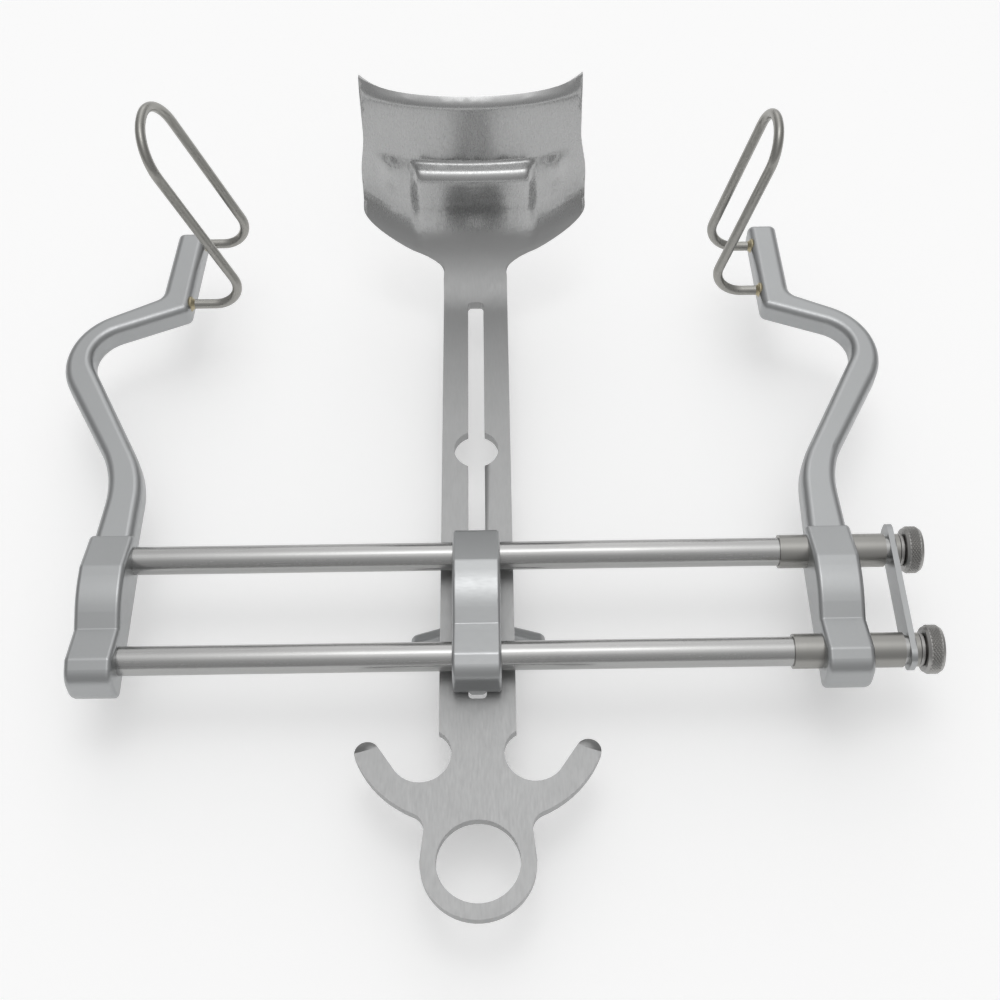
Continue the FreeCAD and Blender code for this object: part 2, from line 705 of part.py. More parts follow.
# Centre blade: shank with finger ring and notches, a bend, and a curved
# blade plate with swept back flanks and a flared lip

def handle_outline():
    """The shank and handle seen from above, one half mirrored to the other."""
    half = size("shank_width") / 2
    ring = size("ring_y")
    side = size("ring_radius")
    curves = (
        ("line", (half, size("blade_start") - size("blade_joint")), (half, -35.2)),
        ("arc", (half, -35.2), (7.5, -38.3), (7.0, -42.0)),
        ("arc", (7.0, -42.0), (14.9, -49.4), (22.4, -45.2)),
        ("line", (22.4, -45.2), (26.4, -39.4)),
        ("arc", (26.4, -39.4), (29.7, -37.9), (32.6, -41.6)),
        ("arc", (32.6, -41.6), (26.7, -50.9), (16.6, -57.9)),
        ("arc", (16.6, -57.9), (14.7, -59.6), (14.0, -62.0)),
        ("line", (14.0, -62.0), (side, ring)),
    )
    middle = size("clamp_x")
    edges = []
    for mirror in (1, -1):
        for kind, *points in curves:
            places = [Vector(middle + mirror * x, y, 0) for x, y in points]
            edges.append(Part.Arc(*places) if kind == "arc" else Part.LineSegment(*places))
    bottom = Vector(middle, ring - side, 0)
    edges.append(Part.Arc(Vector(middle + side, ring, 0), bottom, Vector(middle - side, ring, 0)))
    end = size("blade_start") - size("blade_joint")
    edges.append(Part.LineSegment(Vector(middle + half, end, 0), Vector(middle - half, end, 0)))
    return edges


def shank():
    body = new_body("shank")
    sketch = new_sketch(body, "shank_outline", "XY_Plane", SHANK_UNDERSIDE)
    sketch.addGeometry(handle_outline(), False)
    centre = Vector(size("clamp_x"), size("ring_y"), 0)
    sketch.addGeometry(Part.Circle(centre, Vector(0, 0, 1), size("ring_hole_radius")), False)
    pad(body, sketch, "shank_pad", "Sizes.shank_thickness")
    return body


def smooth(value):
    """Smooth step from 0 to 1."""
    value = min(1.0, max(0.0, value))
    return value * value * (3 - 2 * value)


def blade_rows():
    """Stations along the blade: place on the centre line, half width, sweep, tip share, lip, thickness."""
    start = size("blade_start")
    radius = size("blade_bend_radius")
    narrow = size("shank_width") / 2
    low = size("blade_low_half_width")
    waist = size("blade_waist_half_width")
    tip = size("blade_tip_half_width")
    fold = size("blade_fold_height")
    thick = size("shank_thickness")
    thin = size("blade_thickness")
    flare = size("blade_flare_start")
    sweep_start = size("blade_sweep_start")
    swept = 84
    thinned = 60
    rows = []
    for share in (1.0, 0.75, 0.5, 0.25):
        rows.append((start - share * size("blade_joint"), SHANK_TOP, narrow, 0.0, 0.0, 0.0, thick))
    for degrees in range(0, 91, 6):
        angle = math.radians(degrees)
        y = start + radius * math.sin(angle)
        z = SHANK_TOP + radius * (1 - math.cos(angle))
        width = narrow + (low - narrow) * smooth((degrees - flare) / (size("blade_flare_end") - flare))
        sweep = smooth((degrees - sweep_start) / (swept - sweep_start))
        gauge = thick + (thin - thick) * smooth(degrees / thinned)
        rows.append((y, z, width, sweep, 0.0, 0.0, gauge))
    wall = start + radius
    foot = SHANK_TOP + radius
    for index in range(1, 9):
        share = index / 8
        z = foot + (fold - foot) * share
        width = low + (waist - low) * smooth(share * 1.5)
        width += (tip - waist) * smooth((share - 0.6) / 0.4)
        rows.append((wall, z, width, 1.0, smooth(share * 1.1), 0.0, thin))
    for lip in (0.2, 0.4, 0.6, 0.8, 1.0):
        rows.append((wall, fold, tip, 1.0, 1.0, lip, thin))
    return rows


def blade_point(row, across):
    """A point of the blade's front face; across runs from -1 to 1."""
    y, z, width, sweep, tip_share, lip, thick = row
    x = across * width
    outside = abs(x) - size("blade_flat_half_width")
    crease = (math.hypot(outside, size("blade_crease_softness")) + outside) / 2
    flank = crease * math.tan(math.radians(size("blade_flank_angle")))
    arc = x * x / (2 * size("blade_tip_radius"))
    back = sweep * ((1 - tip_share) * flank + tip_share * arc)
    if lip:
        radius = size("lip_radius")
        full = math.radians(size("lip_angle"))
        developed = lip * (radius * full + size("lip_length"))
        left = size("lip_corner_share")
        angle = min(full * (left + (1 - left) * (1 - across**4)), developed / radius)
        straight = developed - radius * angle
        y += radius * (1 - math.cos(angle)) + straight * math.sin(angle)
        z += radius * math.sin(angle) + straight * math.cos(angle)
        z += lip * size("lip_horn") * across**6
    return Vector(size("clamp_x") + x, y + back, z)


def blade_plate():
    """The bent plate between a front and a back surface with ruled sides."""
    rows = blade_rows()
    columns = 24
    front = []
    for row in rows:
        front.append([blade_point(row, 2 * c / columns - 1) for c in range(columns + 1)])
    back = []
    last = len(rows) - 1
    for r, row in enumerate(rows):
        line = []
        for c in range(columns + 1):
            along = front[min(r + 1, last)][c] - front[max(r - 1, 0)][c]
            across = front[r][min(c + 1, columns)] - front[r][max(c - 1, 0)]
            normal = along.cross(across).normalize()
            if r == 0:
                normal = Vector(0, 0, -1)
            line.append(front[r][c] + normal * row[6])
        back.append(line)
    faces = []
    for grid in (front, back):
        surface = Part.BSplineSurface()
        surface.interpolate(grid)
        faces.append(surface.toShape())
    top, bottom = faces

    def edge_near(face, place):
        return min(face.Edges, key=lambda e: e.distToShape(Part.Vertex(place))[0])

    middle_row = len(rows) // 2
    middle = columns // 2
    for r, c in ((0, middle), (last, middle), (middle_row, 0), (middle_row, columns)):
        first = edge_near(top, front[r][c])
        second = edge_near(bottom, back[r][c])
        faces.append(Part.makeRuledSurface(first, second))
    shell = Part.makeShell(faces)
    shell.sewShape()
    solid = Part.makeSolid(Part.Shell(shell.Faces))
    if solid.Volume < 0:
        solid.reverse()
    return solid


plate = doc.addObject("Part::Feature", "blade_plate")
plate.Shape = blade_plate()


def slot():
    """The slot with its keyhole, as one cutting tool."""
    body = new_body("slot")
    sketch = new_sketch(body, "slot_outline", "XY_Plane", f"{SHANK_UNDERSIDE} - {PASS}")
    half = size("slot_width") / 2
    middle = size("clamp_x")
    near = size("slot_near_end")
    far = size("slot_far_end")
    hole = size("keyhole_radius")
    rise = math.sqrt(hole**2 - half**2)
    y = size("keyhole_y")
    corner = size("slot_corner_radius")
    edges = []
    for end, direction in ((far, 1), (near, -1)):
        start = y + direction * rise
        open_path = [
            flat(middle - half, start),
            flat(middle - half, end, corner),
            flat(middle + half, end, corner),
            flat(middle + half, start),
        ]
        edges += rounded(open_path, closed=False)
    for side in (-1, 1):
        edges.append(
            Part.Arc(
                Vector(middle + side * half, y + rise, 0),
                Vector(middle + side * hole, y, 0),
                Vector(middle + side * half, y - rise, 0),
            )
        )
    sketch.addGeometry(edges, False)
    pad(body, sketch, "slot_pad", f"Sizes.shank_thickness + 3 * {PASS}")
    return body


blade = fuse("whole_blade", [shank(), plate])
finish(cut("centre_blade", blade, slot()), "centre_blade")


# Wire side blades: bent wire with both ends seated in an end bar
def wire_blade(name, block, tip, wire, side):
    """A loop of round wire: leg, bend, upright, rounded top, upright, bend, leg."""
    near = size("arm_reach") - size(f"{wire}_near")
    far = size("arm_reach") - size(f"{wire}_far")
    face = size(block) + side * (-size(f"{tip}_tip_inset") - size("tip_width"))
    corner = face - side * size(f"{wire}_reach")
    level = size("wire_level")
    top = size(f"{wire}_height")
    lean = side * size(f"{wire}_lean")
    bend = size(f"{wire}_bend")
    drift = size(f"{wire}_drift")
    crown = size("wire_crown_share") * (far - near)
    end = face + side * (size("wire_seat_depth") - size("wire_end_gap"))
    corners = [
        (Vector(end, near, level), 0.0),
        (Vector(corner, near, level), bend),
        (Vector(corner + lean, near + drift, top), crown),
        (Vector(corner + lean, far + drift, top), crown),
        (Vector(corner, far, level), bend),
        (Vector(end, far, level), 0.0),
    ]
    path = Part.Wire([curve.toShape() for curve in rounded(corners, closed=False)])
    radius = size("wire_diameter") / 2
    ring = Part.Wire(Part.Circle(Vector(end, near, level), Vector(side, 0, 0), radius).toShape())
    obj = doc.addObject("Part::Feature", name)
    obj.Shape = path.makePipeShell([ring], True, False)
    return finish(obj, name)


wire_blade("left_wire_blade", "fixed_block_x", "fixed", "fixed_wire", -1)
wire_blade("right_wire_blade", "sliding_block_x", "sliding", "sliding_wire", 1)


# Check every object, move the origin to the box's bottom centre, and write
def check_document():
    """Every object has recomputed, and every sub-part is one valid solid."""
    for obj in doc.Objects:
        if "Invalid" in obj.State or "Error" in obj.State:
            raise RuntimeError(f"{obj.Name}: {obj.State}")
    for obj in subparts:
        if obj.Shape.isNull() or not obj.Shape.isValid():
            raise RuntimeError(f"{obj.Label} has no valid shape")
        if len(obj.Shape.Solids) != 1:
            raise RuntimeError(f"{obj.Label} has {len(obj.Shape.Solids)} solids")


doc.recompute()
check_document()
box = FreeCAD.BoundBox()
for obj in subparts:
    box.add(obj.Shape.optimalBoundingBox(False, False))
for axis, value in (("x", -box.Center.x), ("y", -box.Center.y), ("z", -box.ZMin)):
    sheet.set(sheet.getCellFromAlias(f"origin_{axis}"), repr(value))
doc.recompute()

check_document()
for obj in subparts:
    obj.Shape.exportStep(f"parts/{obj.Label}.step")
    print(f"{obj.Label}: {obj.Shape.Volume:.0f} mm3")
print(f"origin at {box.Center.x:.3f}, {box.Center.y:.3f}, {box.ZMin:.3f} of the working frame")
print(f"box {box.XLength:.2f} x {box.YLength:.2f} x {box.ZLength:.2f}")
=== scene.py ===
"""Looks of a self retaining retractor in satin stainless steel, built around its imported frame."""

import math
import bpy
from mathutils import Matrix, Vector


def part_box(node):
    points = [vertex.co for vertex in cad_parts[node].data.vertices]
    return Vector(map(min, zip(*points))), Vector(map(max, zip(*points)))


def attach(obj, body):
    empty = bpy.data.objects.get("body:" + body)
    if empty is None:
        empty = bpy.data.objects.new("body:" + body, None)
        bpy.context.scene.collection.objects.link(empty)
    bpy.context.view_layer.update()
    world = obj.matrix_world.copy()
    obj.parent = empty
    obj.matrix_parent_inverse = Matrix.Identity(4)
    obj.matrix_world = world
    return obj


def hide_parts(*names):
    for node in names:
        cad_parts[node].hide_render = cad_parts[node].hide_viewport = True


bl_info = {
    "name": "Self Retaining Retractor",
    "version": (1, 0, 0),
    "blender": (4, 5, 0),
    "location": "View3D > Sidebar > Retractor",
    "description": "Finishes the retractor's steel, with its pressed blade, knurls, thread and brazing",
    "category": "Object",
}

import bmesh
import bpy
from bpy.props import FloatProperty, FloatVectorProperty, IntProperty, PointerProperty
from mathutils import Matrix, Vector

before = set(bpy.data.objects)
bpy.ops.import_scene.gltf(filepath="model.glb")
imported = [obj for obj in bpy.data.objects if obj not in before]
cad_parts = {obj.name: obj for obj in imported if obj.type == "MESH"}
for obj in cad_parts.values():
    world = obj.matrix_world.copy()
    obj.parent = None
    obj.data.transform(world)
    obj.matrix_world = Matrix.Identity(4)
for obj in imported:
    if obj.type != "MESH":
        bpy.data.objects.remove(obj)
MM = 0.001
MERGE = 0.000002


def centre(node):
    """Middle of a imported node's box."""
    low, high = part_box(node)
    return (low + high) / 2


# The rails' centre plane, on which the photograph's camera was fitted
RAILS_MIDDLE = (centre("far_rail") + centre("near_rail")) / 2
RAILS_MIDDLE.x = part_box("far_rail")[1].x - 116.6 * MM


# Brightness of the tent's long panel over its arch, from the near horizon (0)
# through the zenith (0.5) to the far horizon (1), and over its width
PANEL_ARCH = (
    (0.0, 0.0),
    (0.12, 0.06),
    (0.25, 0.16),
    (0.33, 0.28),
    (0.41, 0.6),
    (0.53, 1.0),
    (0.60, 0.92),
    (0.71, 0.6),
    (0.89, 0.7),
    (1.0, 0.05),
)
PANEL_WIDTH = ((0.0, 1.0), (0.12, 0.95), (0.27, 0.5), (0.7, 0.0))

# The centre blade's bend, from the middle of the rails, in millimetres
BEND_CENTRE = (0.4, 112.0, 19.35)
BEND_RADIUS = 25.0
PLATE_THICKNESS = 2.0

# The pressed step across the bend: where it starts above the bend's centre,
# where it has run out into the bend, and the front of its profile downwards
# as (length, turn in degrees): hollow, ledge, nose, front and hollow
STEP_TOP = 17.25
STEP_END = 38.49
STEP_PROFILE = ((1.59, 76.0), (2.2, 0.0), (5.22, -88.0), (13.35, 0.0), (19.06, 60.68))
STEP_HALF = 31.5

# How finely the plate is cut for the step: narrow rows over the ledge, wider
# rows below it and columns across
NARROW_ROW = 0.45
NARROW_ROWS = 19
WIDE_ROWS = 30
COLUMNS = 90
CUT_SNAP = 1e-7

# Height of the step across the plate: full in the middle, pinched at its two
# ends and rising again to a softer swelling on each flank, which runs out downwards
STEP_MIDDLE = ((0.0, 1.0), (16.6, 1.0), (20.6, 0.0), (STEP_HALF, 0.0))
STEP_FLANK = ((0.0, 0.0), (16.6, 0.0), (20.6, 0.18), (25.2, 0.42), (STEP_HALF, 0.0))
FLANK_FADE = ((0.0, 1.0), (9.0, 1.0), (26.0, 0.0), (STEP_END, 0.0))

# Faces of the blade that meet at more than this angle keep a crisp edge
CRISP_ANGLE = math.radians(32)

# Each leg of the side blades where it leaves its end bar: body, end bar's
# face, setback along Y and the way out of the bar
LEG_LEVEL = 1.8
WIRE_RADIUS = 1.5
LEGS = (
    ("left_near", "frame", -89.98, 110.6, 1),
    ("left_far", "frame", -88.32, 136.9, 1),
    ("right_near", "sliding_arm", 91.3, 113.1, -1),
    ("right_far", "sliding_arm", 90.8, 132.5, -1),
)


# Sizes and colours that a user would change

class SteelSettings(bpy.types.PropertyGroup):
    """Colours of the retractor's steel parts."""

    forging: FloatVectorProperty(
        name="Forgings",
        description="Colour of the arms, the blocks and the wing nut",
        subtype="COLOR",
        min=0.0,
        max=1.0,
        default=(0.40, 0.408, 0.412),
    )
    blade: FloatVectorProperty(
        name="Centre blade",
        description="Colour of the centre blade and its shank",
        subtype="COLOR",
        min=0.0,
        max=1.0,
        default=(0.43, 0.432, 0.432),
    )
    rail: FloatVectorProperty(
        name="Rails",
        description="Colour of the ground rails",
        subtype="COLOR",
        min=0.0,
        max=1.0,
        default=(0.41, 0.41, 0.405),
    )
    sleeve: FloatVectorProperty(
        name="Sleeves",
        description="Colour of the turned sleeves and washers",
        subtype="COLOR",
        min=0.0,
        max=1.0,
        default=(0.33, 0.325, 0.31),
    )
    wire: FloatVectorProperty(
        name="Wire blades",
        description="Colour of the side blades' wire",
        subtype="COLOR",
        min=0.0,
        max=1.0,
        default=(0.34, 0.335, 0.315),
    )
    braze: FloatVectorProperty(
        name="Brazing",
        description="Colour of the braze where the wire enters the end bars",
        subtype="COLOR",
        min=0.0,
        max=1.0,
        default=(0.42, 0.37, 0.25),
    )
    knurl: FloatVectorProperty(
        name="Knurled heads",
        description="Colour of the thumb screws' knurled heads",
        subtype="COLOR",
        min=0.0,
        max=1.0,
        default=(0.37, 0.365, 0.355),
    )


class DetailSettings(bpy.types.PropertyGroup):
    """Sizes of the turned and brazed details."""

    knurl_count: IntProperty(
        name="Knurl cells",
        description="Half diamonds around a knurled head, an even number",
        min=24,
        max=120,
        default=72,
    )
    knurl_rows: IntProperty(
        name="Knurl rows",
        description="Half diamonds along a knurled head",
        min=2,
        max=16,
        default=8,
    )
    knurl_depth: FloatProperty(
        name="Knurl depth",
        description="Depth of the diamond knurl",
        subtype="DISTANCE",
        unit="LENGTH",
        default=0.00028,
    )
    head_chamfer: FloatProperty(
        name="Head chamfer",
        description="Chamfer at both ends of a knurled head",
        subtype="DISTANCE",
        unit="LENGTH",
        default=0.0007,
    )
    head_length: FloatProperty(
        name="Head length",
        description="Length of a knurled head",
        subtype="DISTANCE",
        unit="LENGTH",
        default=0.0046,
    )
    collar_length: FloatProperty(
        name="Collar length",
        description="Length of the smooth collar beside a knurled head",
        subtype="DISTANCE",
        unit="LENGTH",
        default=0.0012,
    )
    screw_radius: FloatProperty(
        name="Screw radius",
        description="Radius of the thumb screws' shanks",
        subtype="DISTANCE",
        unit="LENGTH",
        default=0.002,
    )
    thread_pitch: FloatProperty(
        name="Stud pitch",
        description="Pitch of the clamp stud's thread",
        subtype="DISTANCE",
        unit="LENGTH",
        default=0.001,
    )
    thread_depth: FloatProperty(
        name="Thread depth",
        description="Depth of the clamp stud's thread",
        subtype="DISTANCE",
        unit="LENGTH",
        default=0.00045,
    )
    braze_width: FloatProperty(
        name="Braze width",
        description="Width of the braze around each leg of the side blades",
        subtype="DISTANCE",
        unit="LENGTH",
        default=0.0009,
    )
    shank_roughness: FloatProperty(
        name="Shank roughness",
        description="Roughness of the centre blade's satin shank",
        subtype="FACTOR",
        min=0.0,
        max=1.0,
        default=0.55,
    )
    plate_roughness: FloatProperty(
        name="Plate roughness",
        description="Roughness of the centre blade's brighter plate",
        subtype="FACTOR",
        min=0.0,
        max=1.0,
        default=0.27,
    )


class StageSettings(bpy.types.PropertyGroup):
    """Floor, light and camera."""

    lens: FloatProperty(
        name="Lens",
        description="Focal length of the camera in millimetres",
        default=49.69,
    )
    azimuth: FloatProperty(
        name="Azimuth",
        description="Turn of the camera about the upright axis",
        subtype="ANGLE",
        unit="ROTATION",
        default=math.radians(-0.228),
    )
    elevation: FloatProperty(
        name="Elevation",
        description="Height of the camera above the rails' plane",
        subtype="ANGLE",
        unit="ROTATION",
        default=math.radians(56.337),
    )
    roll: FloatProperty(
        name="Roll",
        description="Roll of the camera about its own axis",
        subtype="ANGLE",
        unit="ROTATION",
        default=math.radians(-0.646),
    )
    distance: FloatProperty(
        name="Distance",
        description="Distance of the camera from its target",
        subtype="DISTANCE",
        unit="LENGTH",
        default=0.401242,
    )
    target: FloatVectorProperty(
        name="Target",
        description="Point the camera looks at, from the middle of the rails",
        subtype="XYZ",
        default=(0.007307, 0.034765, 0.0),
    )
    floor_colour: FloatVectorProperty(
        name="Floor",
        description="Colour of the plain floor",
        subtype="COLOR",
        min=0.0,
        max=1.0,
        default=(0.95, 0.95, 0.95),
    )
    backdrop_white: FloatProperty(
        name="White of the floor",
        description="What the floor adds to its own colour where it is seen or mirrored",
        min=0.0,
        max=1.0,
        default=0.2,
    )
    tent_level: FloatProperty(
        name="Tent",
        description="Brightness of the light tent's walls",
        min=0.0,
        default=0.4,
    )
    panel_level: FloatProperty(
        name="Panel",
        description="What the tent's long panel adds where it is brightest, overhead",
        min=0.0,
        default=1.5,
    )
    panel_shift: FloatProperty(
        name="Panel shift",
        description="How far the panel stands to the right, as a share of its distance",
        default=0.03,
    )
    overhead_power: FloatProperty(
        name="Overhead light",
        description="Power of the soft light above the table",
        subtype="POWER",
        default=0.4,
    )


# Materials

def add_node(tree, kind, **inputs):
    """A node with values set on its sockets by name."""
    node = tree.nodes.new(kind)
    for name, value in inputs.items():
        node.inputs[name.replace("_", " ")].default_value = value
    return node


def steel(name, colour, roughness, grain, streak=0.05, bump=0.25, mottle=0.05):
    """Satin steel: fine streaks along the grain and a faint cloudiness of its tone.

    grain holds the fineness of the streaks along X, Y and Z, in streaks per metre."""
    material = bpy.data.materials.new(name)
    material.use_nodes = True
    tree = material.node_tree
    shader = tree.nodes["Principled BSDF"]
    shader.inputs["Metallic"].default_value = 1.0
    place = tree.nodes.new("ShaderNodeTexCoord")
    stretch = tree.nodes.new("ShaderNodeMapping")
    stretch.inputs["Scale"].default_value = grain
    tree.links.new(place.outputs["Object"], stretch.inputs["Vector"])
    streaks = add_node(tree, "ShaderNodeTexNoise", Scale=1.0, Detail=5.0, Roughness=0.65)
    tree.links.new(stretch.outputs["Vector"], streaks.inputs["Vector"])
    spread = add_node(
        tree,
        "ShaderNodeMapRange",
        From_Min=0.3,
        From_Max=0.7,
        To_Min=roughness - streak,
        To_Max=roughness + streak,
    )
    tree.links.new(streaks.outputs["Fac"], spread.inputs["Value"])
    tree.links.new(spread.outputs["Result"], shader.inputs["Roughness"])
    cloud = add_node(tree, "ShaderNodeTexNoise", Scale=45.0, Detail=3.0, Roughness=0.5)
    tree.links.new(place.outputs["Object"], cloud.inputs["Vector"])
    tone = tree.nodes.new("ShaderNodeMix")
    tone.data_type = "RGBA"
    dark = [c * (1 - mottle) for c in colour]
    light = [min(1.0, c * (1 + mottle)) for c in colour]
    for socket in tone.inputs:
        if socket.type == "RGBA" and socket.name in "AB":
            socket.default_value = (*(dark if socket.name == "A" else light), 1.0)
    result = next(s for s in tone.outputs if s.type == "RGBA")
    tree.links.new(cloud.outputs["Fac"], tone.inputs["Factor"])
    tree.links.new(result, shader.inputs["Base Color"])
    relief = add_node(tree, "ShaderNodeBump", Strength=bump, Distance=0.00002)
    tree.links.new(streaks.outputs["Fac"], relief.inputs["Height"])
    tree.links.new(relief.outputs["Normal"], shader.inputs["Normal"])
    return material


def polish(material, low, high, change):
    """Change the roughness evenly from one height to another."""
    tree = material.node_tree
    shader = tree.nodes["Principled BSDF"]
    streaks = shader.inputs["Roughness"].links[0].from_socket
    place = tree.nodes.new("ShaderNodeTexCoord")
    split = tree.nodes.new("ShaderNodeSeparateXYZ")
    tree.links.new(place.outputs["Object"], split.inputs["Vector"])
    rise = add_node(tree, "ShaderNodeMapRange", From_Min=low, From_Max=high, To_Min=0.0, To_Max=change)
    rise.interpolation_type = "SMOOTHSTEP"
    tree.links.new(split.outputs["Z"], rise.inputs["Value"])
    total = tree.nodes.new("ShaderNodeMath")
    total.operation = "ADD"
    tree.links.new(streaks, total.inputs[0])
    tree.links.new(rise.outputs["Result"], total.inputs[1])
    tree.links.new(total.outputs["Value"], shader.inputs["Roughness"])


def dress(nodes, material):
    """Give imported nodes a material."""
    for name in nodes:
        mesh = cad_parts[name].data
        mesh.materials.clear()
        mesh.materials.append(material)


# Pieces

def new_piece(name, bm, material, body):
    """Turn a bmesh into a piece that rides on a body."""
    bmesh.ops.recalc_face_normals(bm, faces=bm.faces)
    mesh = bpy.data.meshes.new(name)
    bm.to_mesh(mesh)
    bm.free()
    piece = bpy.data.objects.new(name, mesh)
    bpy.context.scene.collection.objects.link(piece)
    mesh.materials.append(material)
    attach(piece, body)
    return piece


def turned(bm, profile, middle, axis, steps=64):
    """Spin a profile of (along, radius) points about an axis through middle."""
    across = Vector((0, 0, 1)) if abs(axis.z) < 0.5 else Vector((1, 0, 0))
    verts = [bm.verts.new(middle + axis * along + across * radius) for along, radius in profile]
    edges = [bm.edges.new(pair) for pair in zip(verts, verts[1:])]
    bmesh.ops.spin(
        bm,
        geom=verts + edges,
        cent=middle,
        axis=axis,
        angle=math.tau,
        steps=steps,
        use_merge=True,
    )
    bmesh.ops.remove_doubles(bm, verts=bm.verts, dist=MERGE)


def knurled_band(bm, start, length, radius, depth, cells, rows, middle):
    """A band of diamond points: every second corner of a fine ring grid is raised."""
    ring = bmesh.ops.create_circle(bm, segments=cells, radius=radius - depth)["verts"]
    bmesh.ops.rotate(bm, verts=ring, matrix=Matrix.Rotation(math.radians(90), 3, "Y"))
    bmesh.ops.translate(bm, verts=ring, vec=middle + Vector((start, 0, 0)))
    edges = list({edge for vert in ring for edge in vert.link_edges})
    rings = [ring]
    for _ in range(rows):
        extruded = bmesh.ops.extrude_edge_only(bm, edges=edges)["geom"]
        ring = [item for item in extruded if isinstance(item, bmesh.types.BMVert)]
        edges = [item for item in extruded if isinstance(item, bmesh.types.BMEdge)]
        bmesh.ops.translate(bm, verts=ring, vec=(length / rows, 0, 0))
        rings.append(ring)
    raised = []
    sunk = []
    for row, ring in enumerate(rings):
        for vert in ring:
            offset = vert.co - middle
            cell = round(math.atan2(offset.z, offset.y) / math.tau * cells)
            (raised if (cell + row) % 2 else sunk).append(vert)
    bmesh.ops.connect_verts(bm, verts=sunk)
    inner = {id(vert) for ring in (rings[0], rings[-1]) for vert in ring}
    raised = [vert for vert in raised if id(vert) not in inner]
    factor = radius / (radius - depth)
    bmesh.ops.scale(
        bm,
        vec=(1, factor, factor),
        verts=raised,
        space=Matrix.Translation(-middle),
    )


def eased(value, levels):
    """Level at a value, eased between (value, level) pairs."""
    for (start, before), (end, after) in zip(levels, levels[1:]):
        if value <= end:
            share = (value - start) / (end - start)
            return before + (after - before) * share * share * (3 - 2 * share)
    return levels[-1][1]


def plate_front(distance):
    """The plate's plain front at a distance below the step's top: Y, Z and slope."""
    if distance < STEP_TOP:
        return BEND_RADIUS, STEP_TOP - distance, 0.0
    slope = (distance - STEP_TOP) / BEND_RADIUS
    return BEND_RADIUS * math.cos(slope), -BEND_RADIUS * math.sin(slope), slope


def step_front(distance):
    """The pressed step's front at a distance along its own profile."""
    y, z, slope = BEND_RADIUS, STEP_TOP, 0.0
    for length, degrees in STEP_PROFILE:
        run = min(distance, length)
        turn = math.radians(degrees) * run / length
        if turn:
            radius = run / turn
            y -= radius * (math.cos(slope) - math.cos(slope + turn))
            z -= radius * (math.sin(slope + turn) - math.sin(slope))
        else:
            y -= run * math.sin(slope)
            z -= run * math.cos(slope)
        slope += turn
        distance -= run
        if distance <= 0:
            break
    return y, z, slope


# Operators

class RETRACTOR_OT_forgings(bpy.types.Operator):
    """Finish the two arms, the clamp block, the keeper plate and the wing nut"""

    bl_idname = "retractor.forgings"
    bl_label = "Finish the forgings"

    def execute(self, context):
        colour = context.scene.retractor_steel.forging
        along = steel("satin_forging", colour, 0.36, (2600, 500, 2600), mottle=0.04)
        dress(("left_arm", "right_arm"), along)
        block = steel("satin_block", colour, 0.34, (400, 2600, 2600), mottle=0.03)
        dress(("clamp_block",), block)
        plate = steel("satin_keeper", colour, 0.33, (2600, 400, 2600), mottle=0.03)
        dress(("keeper_plate",), plate)
        cast = steel("satin_wing_nut", colour, 0.4, (1200, 1200, 1200), mottle=0.05)
        dress(("wing_nut",), cast)
        return {"FINISHED"}


